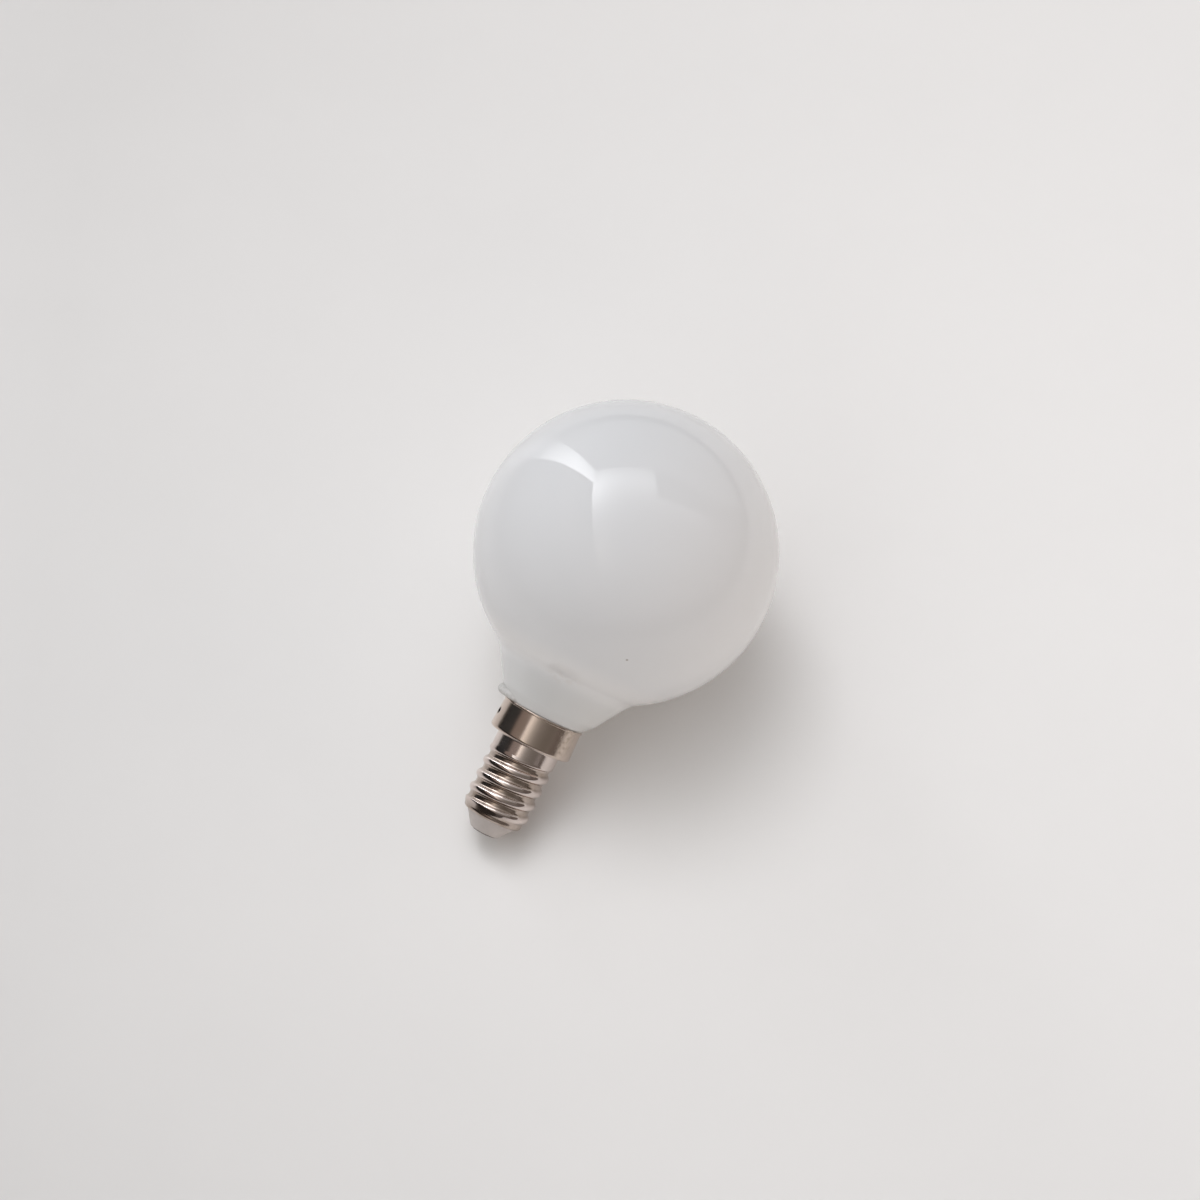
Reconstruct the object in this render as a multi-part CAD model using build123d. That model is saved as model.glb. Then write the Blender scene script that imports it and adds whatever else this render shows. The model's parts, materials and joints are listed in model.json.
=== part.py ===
from build123d import *
import math
import os

# Opal globe bulb with a small screw base, lying at rest on its globe and the end of its screw shell.
# Each piece is drawn upright about the bulb's axis, Z from the globe's centre towards the cap, and is
# then laid down. A half section is a list of corners, each (radius, height along the axis, rounding).

# Driving dimensions of the screw shell, in millimetres
SHEET = 0.3
THREAD_DIAMETER = 11.89
THREAD_DEPTH = 0.635
THREAD_PITCH = 2.54
THREAD_START_ANGLE = -5.0
THREAD_RUN_IN = 1.2
THREAD_RUN_OUT = 1.4
GROOVE_FLAT = 0.44
RIDGE_SINK = 0.15
LAND_INSET = 0.2
LAND_HEIGHT = 2.5
LAND_SLOPE = 0.5
LAND_ROUNDING = 0.3
COLLAR_STEP = 1.75
COLLAR_HEIGHT = 5.55
COLLAR_TAPER = 0.3
COLLAR_EDGE_ROUNDING = 0.5
RIM_LIP_OUT = 0.16
RIM_LIP_HEIGHT = 0.4
SCREW_HEIGHT = 14.45
END_ROUNDING = 0.65
END_LIP = 0.45

# Driving dimensions of the crimp marks punched into the collar
CRIMP_COUNT = 2
CRIMP_BALL_RADIUS = 0.95
CRIMP_DEPTH = 0.35
CRIMP_BELOW_RIM = 2.65
CRIMP_ANGLE = 65.0

# Driving dimensions of the glass
GLOBE_DIAMETER = 52.4
NECK_FLARE = 3.75
NECK_FLARE_ROUNDING = 4.5
NECK_LENGTH = 6.1
NECK_OVERHANG = 1.75
NECK_FOOT_ROUNDING = 3.0
SHOULDER_HEIGHT = 1.85
SHOULDER_EDGE_ROUNDING = 0.35
NECK_TUBE_DEPTH = 3.6

# Driving dimensions of the cement between glass and collar
CEMENT_BED = 0.15
CEMENT_WALL = 0.5
CEMENT_DEPTH = 3.0
BEAD_RADIUS = 0.85
BEAD_OFFSET = 3.4
BEAD_OUT = 1.1
BEAD_ABOVE_RIM = 0.9
BEAD_ANGLE = 257.0

# Driving dimensions of the insulator and its contact
CONE_HEIGHT = 2.65
CONE_TIP_DIAMETER = 5.3
CONE_TIP_ROUNDING = 0.45
FLANGE_HEIGHT = 1.5
INSULATOR_FIT = 0.03
CONTACT_INSET = 0.5
CONTACT_EDGE = 0.15
CONTACT_RISE = 0.25
SHANK_DIAMETER = 1.8
SHANK_LENGTH = 1.6

# Small margin by which a trimming solid stays clear of the surface that it trims to
TRIM_MARGIN = 0.05

# A rolled screw thread is a wave of equal arcs, each tangent to the next
WAVE_RADIUS = ((THREAD_PITCH / 2) ** 2 + THREAD_DEPTH**2) / (4 * THREAD_DEPTH)


def groove_radius(offset):
    """Radius of the thread's round groove at a distance along the axis from its lowest line."""
    return THREAD_DIAMETER / 2 - THREAD_DEPTH + WAVE_RADIUS - math.sqrt(WAVE_RADIUS**2 - offset**2)


# Radii that several pieces share
THREAD_RADIUS = THREAD_DIAMETER / 2
CORE_RADIUS = groove_radius(GROOVE_FLAT / 2)
BORE_RADIUS = CORE_RADIUS - SHEET
END_HOLE_RADIUS = BORE_RADIUS - END_LIP
LAND_RADIUS = THREAD_RADIUS - LAND_INSET
COLLAR_RADIUS = LAND_RADIUS + COLLAR_STEP
RIM_RADIUS = COLLAR_RADIUS - COLLAR_TAPER
NECK_TUBE_RADIUS = RIM_RADIUS - SHEET - CEMENT_WALL
NECK_FOOT_RADIUS = RIM_RADIUS + NECK_OVERHANG
NECK_TOP_RADIUS = NECK_FOOT_RADIUS + NECK_FLARE
GLOBE_RADIUS = GLOBE_DIAMETER / 2
CONE_TIP_RADIUS = CONE_TIP_DIAMETER / 2

# The ridge's foot is a little wider than what shows, so that its roots cross the core
RIDGE_HALF_WIDTH = THREAD_PITCH / 2 - GROOVE_FLAT / 4

# Places along the axis, counted from the centre of the globe
NECK_TOP_AT = math.sqrt(GLOBE_RADIUS**2 - NECK_TOP_RADIUS**2)
NECK_FOOT_AT = NECK_TOP_AT + NECK_LENGTH
SHOULDER_AT = NECK_FOOT_AT + SHOULDER_HEIGHT
RIM_AT = SHOULDER_AT + CEMENT_BED
COLLAR_END_AT = RIM_AT + COLLAR_HEIGHT
LAND_END_AT = COLLAR_END_AT + LAND_HEIGHT
SHELL_END_AT = COLLAR_END_AT + SCREW_HEIGHT
END_ROUND_AT = SHELL_END_AT - END_ROUNDING
TIP_AT = SHELL_END_AT + CONE_HEIGHT


def half_section(corners, first_edge=None):
    """Closed half section through the corners, with an optional curved edge that leads to the first one."""
    points = [(radius, height) for radius, height, rounding in corners]
    edges = list(Polyline(*points).edges())
    start = points[0]
    if first_edge is not None:
        edges.insert(0, first_edge)
        start = first_edge @ 0
    edges.append(Line(points[-1], start))
    face = make_face(edges)
    for radius, height, rounding in corners:
        if rounding > 0:
            corner = face.vertices().sort_by_distance((radius, height, 0))[0]
            face = fillet(corner, rounding)
    return Plane.XZ * face


def turned(corners, first_edge=None):
    """Solid of revolution of a half section about the bulb's axis."""
    return revolve(half_section(corners, first_edge), Axis.Z)


def collar_radius_at(height):
    """Outer radius of the collar, which widens evenly from its rim to its lower edge."""
    return RIM_RADIUS + COLLAR_TAPER * (height - RIM_AT) / COLLAR_HEIGHT


def glass_globe():
    """Blown envelope: a ball, its tapering neck with a rounded foot, and the tube inside the collar."""
    ball = ThreePointArc((0, -GLOBE_RADIUS), (GLOBE_RADIUS, 0), (NECK_TOP_RADIUS, NECK_TOP_AT))
    tube_end_at = RIM_AT + NECK_TUBE_DEPTH
    corners = [
        (NECK_TOP_RADIUS, NECK_TOP_AT, NECK_FLARE_ROUNDING),
        (NECK_FOOT_RADIUS, NECK_FOOT_AT, NECK_FOOT_ROUNDING),
        (RIM_RADIUS, SHOULDER_AT, SHOULDER_EDGE_ROUNDING),
        (NECK_TUBE_RADIUS, SHOULDER_AT, 0),
        (NECK_TUBE_RADIUS, tube_end_at, 0),
        (0, tube_end_at, 0),
    ]
    return turned(corners, ball)


def shell_blank():
    """Drawn cup of the shell before its thread: rim lip, collar, land, core and turned-in end."""
    lip_end_at = RIM_AT + RIM_LIP_HEIGHT
    lip_radius = RIM_RADIUS + RIM_LIP_OUT
    floor_at = COLLAR_END_AT - SHEET
    end_floor_at = SHELL_END_AT - SHEET
    corners = [
        (RIM_RADIUS - SHEET, RIM_AT, 0),
        (lip_radius, RIM_AT, 0),
        (lip_radius, lip_end_at, 0),
        (collar_radius_at(lip_end_at), lip_end_at, 0),
        (COLLAR_RADIUS, COLLAR_END_AT, COLLAR_EDGE_ROUNDING),
        (LAND_RADIUS, COLLAR_END_AT, LAND_ROUNDING),
        (LAND_RADIUS, LAND_END_AT, 0),
        (CORE_RADIUS, LAND_END_AT + LAND_SLOPE, 0),
        (CORE_RADIUS, SHELL_END_AT, END_ROUNDING),
        (END_HOLE_RADIUS, SHELL_END_AT, 0),
        (END_HOLE_RADIUS, end_floor_at, 0),
        (BORE_RADIUS, end_floor_at, 0),
        (BORE_RADIUS, floor_at, 0),
        (collar_radius_at(floor_at) - SHEET, floor_at, 0),
    ]
    return turned(corners)


def ridge_section():
    """Section of the thread's ridge: a round crest between two round roots, with a foot sunk in the core."""
    crest_centre = THREAD_RADIUS - WAVE_RADIUS
    root_centre = THREAD_RADIUS - THREAD_DEPTH + WAVE_RADIUS
    flank_radius = (crest_centre + root_centre) / 2
    flank_height = THREAD_PITCH / 4
    crest = ThreePointArc((flank_radius, -flank_height), (THREAD_RADIUS, 0), (flank_radius, flank_height))
    root_radius = groove_radius(GROOVE_FLAT / 4)
    upper_root = TangentArc(crest @ 1, (root_radius, RIDGE_HALF_WIDTH), tangent=crest % 1)
    lower_root = TangentArc(crest @ 0, (root_radius, -RIDGE_HALF_WIDTH), tangent=-(crest % 0))
    sunk_radius = CORE_RADIUS - RIDGE_SINK
    foot = Polyline(
        upper_root @ 1,
        (sunk_radius, RIDGE_HALF_WIDTH),
        (sunk_radius, -RIDGE_HALF_WIDTH),
        lower_root @ 1,
    )
    return Plane.XZ * make_face([crest, upper_root, *foot.edges(), lower_root])


def thread_ridge():
    """Helical ridge that rises out of the land and runs out where the shell's end turns in."""
    start_at = LAND_END_AT - RIDGE_HALF_WIDTH
    stop_at = END_ROUND_AT + RIDGE_HALF_WIDTH
    path = Helix(THREAD_PITCH, stop_at - start_at, CORE_RADIUS)
    ridge = Pos(0, 0, start_at) * Rot(0, 0, THREAD_START_ANGLE) * sweep(ridge_section(), path, is_frenet=True)
    buried_radius = LAND_RADIUS - TRIM_MARGIN
    clear_radius = THREAD_RADIUS + TRIM_MARGIN
    envelope = turned([
        (0, COLLAR_END_AT, 0),
        (buried_radius, COLLAR_END_AT, 0),
        (buried_radius, LAND_END_AT, 0),
        (clear_radius, LAND_END_AT + THREAD_RUN_IN, 0),
        (clear_radius, END_ROUND_AT - THREAD_RUN_OUT, 0),
        (CORE_RADIUS - TRIM_MARGIN, END_ROUND_AT, 0),
        (0, END_ROUND_AT, 0),
    ])
    return ridge & envelope


def crimp_balls(ball_radius):
    """Balls about the centres of the punched marks, evenly spaced round the collar."""
    height = RIM_AT + CRIMP_BELOW_RIM
    centre_radius = collar_radius_at(height) - CRIMP_DEPTH + CRIMP_BALL_RADIUS
    balls = []
    for index in range(CRIMP_COUNT):
        turn = Rot(0, 0, CRIMP_ANGLE + index * 360 / CRIMP_COUNT)
        balls.append(turn * Pos(centre_radius, 0, height) * Sphere(ball_radius))
    return balls


def collar_inside():
    """Space inside the collar's sheet, from its rim to its floor."""
    floor_at = COLLAR_END_AT - SHEET
    return turned([
        (0, RIM_AT, 0),
        (RIM_RADIUS - SHEET, RIM_AT, 0),
        (collar_radius_at(floor_at) - SHEET, floor_at, 0),
        (0, floor_at, 0),
    ])


def screw_shell():
    """Nickel-plated sheet shell with its rolled thread and the marks that crimp the collar."""
    shell = shell_blank() + thread_ridge()
    inside = collar_inside()
    for pushed_in in crimp_balls(CRIMP_BALL_RADIUS + SHEET):
        shell += pushed_in & inside
    for dent in crimp_balls(CRIMP_BALL_RADIUS):
        shell -= dent
    return shell


def capping_cement(glass, shell):
    """Cement that beds the neck in the collar, squeezed out on one side as a crescent.

    The crescent is the part of an off-centre ring that stands out past the glass.
    """
    depth_at = RIM_AT + CEMENT_DEPTH
    bed = turned([
        (NECK_TUBE_RADIUS, SHOULDER_AT, 0),
        (RIM_RADIUS - SHOULDER_EDGE_ROUNDING / 2, SHOULDER_AT, 0),
        (RIM_RADIUS - SHOULDER_EDGE_ROUNDING / 2, RIM_AT, 0),
        (RIM_RADIUS - SHEET, RIM_AT, 0),
        (collar_radius_at(depth_at) - SHEET, depth_at, 0),
        (NECK_TUBE_RADIUS, depth_at, 0),
    ])
    ring = Torus(RIM_RADIUS + BEAD_OUT - BEAD_OFFSET, BEAD_RADIUS)
    bead = Rot(0, 0, BEAD_ANGLE) * Pos(BEAD_OFFSET, 0, RIM_AT - BEAD_ABOVE_RIM) * ring
    for pushed_in in crimp_balls(CRIMP_BALL_RADIUS + SHEET):
        bed -= pushed_in
    return (bead - glass - shell) + bed


def base_insulator():
    """Moulded plastic cone with a flange behind the shell's turned-in end and a hole for the contact."""
    end_floor_at = SHELL_END_AT - SHEET
    plug_radius = END_HOLE_RADIUS - INSULATOR_FIT
    flange_radius = BORE_RADIUS - INSULATOR_FIT
    cone = turned([
        (0, end_floor_at - FLANGE_HEIGHT, 0),
        (flange_radius, end_floor_at - FLANGE_HEIGHT, 0),
        (flange_radius, end_floor_at, 0),
        (plug_radius, end_floor_at, 0),
        (plug_radius, SHELL_END_AT, 0),
        (CONE_TIP_RADIUS, TIP_AT, CONE_TIP_ROUNDING),
        (0, TIP_AT, 0),
    ])
    hole = Cylinder(SHANK_DIAMETER / 2 + INSULATOR_FIT, SHANK_LENGTH + INSULATOR_FIT)
    return cone - Pos(0, 0, TIP_AT - (SHANK_LENGTH + INSULATOR_FIT) / 2) * hole


def centre_contact():
    """Domed metal button with a shank pressed into the insulator."""
    radius = CONE_TIP_RADIUS - CONTACT_INSET
    edge_at = TIP_AT + CONTACT_EDGE
    dome_radius = (radius**2 + CONTACT_RISE**2) / (2 * CONTACT_RISE)
    half_chord = radius / 2
    sag = dome_radius - math.sqrt(dome_radius**2 - half_chord**2)
    dome = ThreePointArc((0, edge_at + CONTACT_RISE), (half_chord, edge_at + CONTACT_RISE - sag), (radius, edge_at))
    corners = [
        (radius, edge_at, 0),
        (radius, TIP_AT, 0),
        (SHANK_DIAMETER / 2, TIP_AT, 0),
        (SHANK_DIAMETER / 2, TIP_AT - SHANK_LENGTH, 0),
        (0, TIP_AT - SHANK_LENGTH, 0),
    ]
    return turned(corners, dome)


def touching_tilt(height, radius, rounding):
    """Tilt in degrees at which a round edge of the cap comes down to the surface the globe lies on."""
    centre_radius = radius - rounding
    centre_height = height - rounding
    reach = math.hypot(centre_height, centre_radius)
    return math.degrees(math.asin((GLOBE_RADIUS - rounding) / reach) - math.atan2(centre_radius, centre_height))


def rest_tilt():
    """Tilt at which the first edge of the cap touches down."""
    return min(
        touching_tilt(COLLAR_END_AT, COLLAR_RADIUS, COLLAR_EDGE_ROUNDING),
        touching_tilt(END_ROUND_AT - THREAD_RUN_OUT, THREAD_RADIUS, 0),
        touching_tilt(SHELL_END_AT, CORE_RADIUS, END_ROUNDING),
        touching_tilt(TIP_AT, CONE_TIP_RADIUS, 0),
    )


def lay_down(pieces):
    """Pieces laid on the surface at Z = 0, cap towards +X, with the origin under the middle of their box."""
    lying = Pos(0, 0, GLOBE_RADIUS) * Rot(0, 90 + rest_tilt(), 0)
    box = Compound([lying * piece for piece in pieces.values()]).bounding_box()
    centred = Pos(-box.center().X, -box.center().Y, 0) * lying
    return {name: centred * piece for name, piece in pieces.items()}


glass = glass_globe()
shell = screw_shell()
bulb = {
    "glass_globe": glass,
    "screw_shell": shell,
    "capping_cement": capping_cement(glass, shell),
    "base_insulator": base_insulator(),
    "centre_contact": centre_contact(),
}

os.makedirs("parts", exist_ok=True)
for name, piece in lay_down(bulb).items():
    export_step(piece, f"parts/{name}.step")
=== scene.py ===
"""Looks of a small opal globe bulb that lies on a pale board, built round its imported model.

The bulb's sizes are in millimetres and become metres when a mesh is made. Each round piece is an outline,
radius against distance along the bulb's axis from the globe's centre, carried round that axis.
"""
import json
import logging
import math
from dataclasses import dataclass
from enum import Enum
from typing import Union

import bpy
import numpy as np
from mathutils import Matrix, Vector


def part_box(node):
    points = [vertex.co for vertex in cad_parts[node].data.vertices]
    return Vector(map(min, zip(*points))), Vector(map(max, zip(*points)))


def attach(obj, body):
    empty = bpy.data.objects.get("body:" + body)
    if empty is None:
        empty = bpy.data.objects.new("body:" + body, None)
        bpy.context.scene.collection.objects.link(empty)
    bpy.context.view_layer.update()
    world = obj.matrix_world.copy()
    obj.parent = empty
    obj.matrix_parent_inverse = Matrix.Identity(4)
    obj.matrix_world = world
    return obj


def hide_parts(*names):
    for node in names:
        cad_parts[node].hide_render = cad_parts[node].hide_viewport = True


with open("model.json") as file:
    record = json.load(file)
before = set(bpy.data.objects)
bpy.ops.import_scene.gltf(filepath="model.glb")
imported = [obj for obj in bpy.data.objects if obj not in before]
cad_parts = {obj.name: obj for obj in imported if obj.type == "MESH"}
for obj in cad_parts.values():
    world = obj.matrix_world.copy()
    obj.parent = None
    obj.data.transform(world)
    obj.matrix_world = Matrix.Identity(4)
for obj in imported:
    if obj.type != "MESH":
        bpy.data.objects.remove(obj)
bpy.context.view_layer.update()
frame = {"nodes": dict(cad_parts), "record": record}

LOG = logging.getLogger("globe_bulb")
MM = 0.001
FULL_TURN = 2 * math.pi
SHARP_ANGLE = math.radians(50)
NOISE_MIDDLE = 0.5
LEAST_ARC_STEPS = 6
BODY = "root"

Colour = tuple[float, float, float]
Place = tuple[float, float, float]
Socket = bpy.types.NodeSocket
Value = Union[float, Colour, Socket]
Corner = tuple[float, float, float]


class Piece(Enum):
    """The pieces of the bulb, by the node that each one stands for."""

    GLOBE = "glass_globe"
    SHELL = "screw_shell"
    CEMENT = "capping_cement"
    INSULATOR = "base_insulator"
    CONTACT = "centre_contact"


class Slot(Enum):
    """The record's material slots."""

    GLASS = "opal_glass"
    NICKEL = "nickel_plate"
    CEMENT = "cement"
    PLASTIC = "insulator"
    CONTACT = "contact"


class Detail(Enum):
    """How many finer layers a noise has."""

    SMOOTH = 1.0
    PLAIN = 2.0
    FINE = 3.0
    FINEST = 4.0


@dataclass(frozen=True)
class BulbAxis:
    """Where the bulb lies, in metres: the globe's centre and three unit directions.

    Along points from the globe to the cap, down points to the board's side of the axis, and side completes
    a right-handed set.
    """

    centre: np.ndarray
    along: np.ndarray
    down: np.ndarray
    side: np.ndarray
    globe_radius: float

    @classmethod
    def from_frame(cls) -> "BulbAxis":
        """Reads the globe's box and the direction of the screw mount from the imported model.

        Returns:
            The bulb's axis and the globe's radius.
        """
        low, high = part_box(Piece.GLOBE.value)
        radius = (high.z - low.z) / 2
        along = np.array(frame["record"]["mounts"][0]["axis"])
        along = along / np.linalg.norm(along)
        side = np.array([0.0, 1.0, 0.0])
        down = np.cross(side, along)
        centre = np.array([low.x + radius, (low.y + high.y) / 2, low.z + radius])
        return cls(centre, along, down, side, radius)

    def place(self, radius: np.ndarray, angle: np.ndarray, distance: np.ndarray) -> np.ndarray:
        """Points from their place about the axis: centre plus a distance along it plus a turned radius.

        Args:
            radius: Distance from the axis, in millimetres.
            angle: Turn about the axis from down towards side, in radians.
            distance: Distance along the axis from the globe's centre, in millimetres.

        Returns:
            Points in metres, with one more axis than the inputs.
        """
        across = np.cos(angle)[..., None] * self.down + np.sin(angle)[..., None] * self.side
        return self.centre + MM * (distance[..., None] * self.along + radius[..., None] * across)

    def turn(self) -> Matrix:
        """Rotation that takes x, y and z to down, side and along."""
        return Matrix([self.down, self.side, self.along]).transposed()


@dataclass(frozen=True)
class BulbSizes:
    """Driving sizes that pieces share, in millimetres, and the radii and places that follow from them."""

    globe_radius: float
    sheet: float = 0.3
    thread_radius: float = 5.945
    land_inset: float = 0.2
    collar_step: float = 1.75
    collar_taper: float = 0.3
    collar_height: float = 5.55
    land_height: float = 2.5
    screw_height: float = 14.45
    end_lip: float = 0.45
    thread_depth: float = 0.635
    thread_pitch: float = 2.54
    groove_flat: float = 0.44
    neck_flare: float = 3.75
    neck_length: float = 6.1
    neck_overhang: float = 1.75
    shoulder_height: float = 1.85
    cement_bed: float = 0.15
    cement_wall: float = 0.5
    cone_height: float = 2.65

    @property
    def wave_radius(self) -> float:
        """Radius of the equal arcs of which the rolled thread is made, each tangent to the next."""
        return ((self.thread_pitch / 2) ** 2 + self.thread_depth**2) / (4 * self.thread_depth)

    @property
    def core_radius(self) -> float:
        """Radius of the shell in the grooves of its thread."""
        sag = self.wave_radius - math.sqrt(self.wave_radius**2 - (self.groove_flat / 2) ** 2)
        return self.thread_radius - self.thread_depth + sag

    @property
    def bore_radius(self) -> float:
        """Inner radius of the shell behind the thread."""
        return self.core_radius - self.sheet

    @property
    def end_hole_radius(self) -> float:
        """Radius of the hole in the shell's turned-in end."""
        return self.bore_radius - self.end_lip

    @property
    def land_radius(self) -> float:
        """Radius of the smooth land between collar and thread."""
        return self.thread_radius - self.land_inset

    @property
    def collar_radius(self) -> float:
        """Radius of the collar at its lower edge."""
        return self.land_radius + self.collar_step

    @property
    def rim_radius(self) -> float:
        """Radius of the collar at its rim."""
        return self.collar_radius - self.collar_taper

    @property
    def neck_tube_radius(self) -> float:
        """Radius of the glass inside the collar."""
        return self.rim_radius - self.sheet - self.cement_wall

    @property
    def neck_foot_radius(self) -> float:
        """Radius of the neck where it turns in to the collar."""
        return self.rim_radius + self.neck_overhang

    @property
    def neck_top_radius(self) -> float:
        """Radius at which the neck's taper would meet the ball."""
        return self.neck_foot_radius + self.neck_flare

    @property
    def neck_top_at(self) -> float:
        """Distance along the axis at which the neck's taper would meet the ball."""
        return math.sqrt(self.globe_radius**2 - self.neck_top_radius**2)

    @property
    def neck_foot_at(self) -> float:
        """Distance along the axis of the neck's foot."""
        return self.neck_top_at + self.neck_length

    @property
    def shoulder_at(self) -> float:
        """Distance along the axis at which the glass meets the cement."""
        return self.neck_foot_at + self.shoulder_height

    @property
    def rim_at(self) -> float:
        """Distance along the axis of the collar's rim."""
        return self.shoulder_at + self.cement_bed

    @property
    def collar_end_at(self) -> float:
        """Distance along the axis of the collar's lower edge."""
        return self.rim_at + self.collar_height

    @property
    def land_end_at(self) -> float:
        """Distance along the axis at which the land ends."""
        return self.collar_end_at + self.land_height

    @property
    def shell_end_at(self) -> float:
        """Distance along the axis of the shell's end."""
        return self.collar_end_at + self.screw_height

    @property
    def tip_at(self) -> float:
        """Distance along the axis of the insulator's tip."""
        return self.shell_end_at + self.cone_height

    def collar_radius_at(self, distance: np.ndarray) -> np.ndarray:
        """Outer radius of the collar, which widens evenly from rim to lower edge."""
        return self.rim_radius + self.collar_taper * (distance - self.rim_at) / self.collar_height


def arc_points(centre: np.ndarray, start: np.ndarray, stop: np.ndarray, step: float) -> np.ndarray:
    """Arc about a centre from one point to another by the shorter way: centre plus a turned radius.

    Args:
        centre: Centre of the arc.
        start: First point.
        stop: Last point.
        step: Greatest distance between points.

    Returns:
        Points of the arc, both ends included.
    """
    first = np.subtract(start, centre)
    last = np.subtract(stop, centre)
    first_angle = math.atan2(first[1], first[0])
    sweep = math.atan2(first[0] * last[1] - first[1] * last[0], float(np.dot(first, last)))
    radius = float(np.hypot(*first))
    count = max(LEAST_ARC_STEPS, math.ceil(abs(sweep) * radius / step))
    angles = first_angle + sweep * np.linspace(0, 1, count + 1)
    return centre + radius * np.stack([np.cos(angles), np.sin(angles)], axis=-1)


def line_points(start: np.ndarray, stop: np.ndarray, step: float) -> np.ndarray:
    """Evenly spaced points on a straight run, its last point left out for the run that follows.

    Args:
        start: First point.
        stop: End of the run.
        step: Greatest distance between points.

    Returns:
        Points of the run without its end.
    """
    count = max(1, math.ceil(float(np.hypot(*np.subtract(stop, start))) / step))
    share = np.arange(count)[:, None] / count
    return np.asarray(start) * (1 - share) + np.asarray(stop) * share


def rounded_outline(corners: list[Corner], step: float) -> np.ndarray:
    """Outline through corners, each rounded by an arc that is tangent to both of its runs.

    Args:
        corners: Radius, distance along the axis and rounding of each corner.
        step: Greatest distance between points.

    Returns:
        Points as pairs of radius and distance, both ends included.
    """
    points = np.array([corner[:2] for corner in corners], float)
    runs = []
    here = points[0]
    for before, corner, after, (_, _, rounding) in zip(points, points[1:], points[2:], corners[1:]):
        if rounding == 0:
            runs.append(line_points(here, corner, step))
            here = corner
            continue
        back = (before - corner) / np.hypot(*(before - corner))
        ahead = (after - corner) / np.hypot(*(after - corner))
        half_angle = math.acos(float(np.clip(back @ ahead, -1, 1))) / 2
        reach = rounding / math.tan(half_angle)
        bisector = (back + ahead) / np.hypot(*(back + ahead))
        centre = corner + bisector * rounding / math.sin(half_angle)
        runs.append(line_points(here, corner + back * reach, step))
        runs.append(arc_points(centre, corner + back * reach, corner + ahead * reach, step)[:-1])
        here = corner + ahead * reach
    runs.append(line_points(here, points[-1], step))
    runs.append(points[-1:])
    return np.concatenate(runs)


def soft_max(first: np.ndarray, second: np.ndarray, blend: float) -> np.ndarray:
    """Larger of two arrays with a rounded change: half of their sum plus their soft difference."""
    return (first + second + np.sqrt((first - second) ** 2 + blend**2)) / 2


def soft_min(first: np.ndarray, second: np.ndarray, blend: float) -> np.ndarray:
    """Smaller of two arrays with a rounded change."""
    return -soft_max(-first, -second, blend)


def ring_object(name: str, points: np.ndarray, closed: bool) -> bpy.types.Object:
    """Smooth mesh of rows of points that each go once round the axis.

    Args:
        name: Name of the new piece.
        points: Array of rows, columns and coordinates, in metres.
        closed: True if the last row leads back to the first; otherwise both end rows are poles.

    Returns:
        The new object, linked to the scene.
    """
    columns = points.shape[1]
    body = points if closed else points[1:-1]
    body_rows = len(body)
    row = np.arange(body_rows if closed else body_rows - 1)[:, None]
    column = np.arange(columns)[None, :]
    next_row = (row + 1) % body_rows
    next_column = (column + 1) % columns
    quads = np.stack(
        [row * columns + column, row * columns + next_column,
         next_row * columns + next_column, next_row * columns + column],
        axis=-1,
    ).reshape(-1, 4)
    vertices = body.reshape(-1, 3)
    faces = quads.tolist()
    if not closed:
        first_pole = len(vertices)
        vertices = np.concatenate([vertices, points[0, :1], points[-1, :1]])
        ring = np.arange(columns)
        following = (ring + 1) % columns
        last_row = (body_rows - 1) * columns
        first_fan = [np.full(columns, first_pole), following, ring]
        last_fan = [np.full(columns, first_pole + 1), last_row + ring, last_row + following]
        for fan in (first_fan, last_fan):
            faces += np.stack(fan, axis=-1).tolist()
    mesh = bpy.data.meshes.new(name)
    mesh.from_pydata(vertices.tolist(), [], faces)
    mesh.polygons.foreach_set("use_smooth", np.ones(len(mesh.polygons), bool))
    mesh.update()
    mesh.set_sharp_from_angle(angle=SHARP_ANGLE)
    piece = bpy.data.objects.new(name, mesh)
    bpy.context.scene.collection.objects.link(piece)
    return piece


def turned_object(
    name: str,
    axis: BulbAxis,
    outline: np.ndarray,
    columns: int,
    closed: bool,
) -> bpy.types.Object:
    """Surface of revolution of an outline about the bulb's axis.

    Args:
        name: Name of the new piece.
        axis: Where the bulb lies.
        outline: Pairs of radius and distance along the axis, in millimetres.
        columns: Points round the axis.
        closed: True if the outline is a closed loop clear of the axis.

    Returns:
        The new object.
    """
    angle = FULL_TURN * np.arange(columns) / columns
    radius = np.broadcast_to(outline[:, :1], (len(outline), columns))
    distance = np.broadcast_to(outline[:, 1:], (len(outline), columns))
    return ring_object(name, axis.place(radius, np.broadcast_to(angle, radius.shape), distance), closed)


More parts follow.
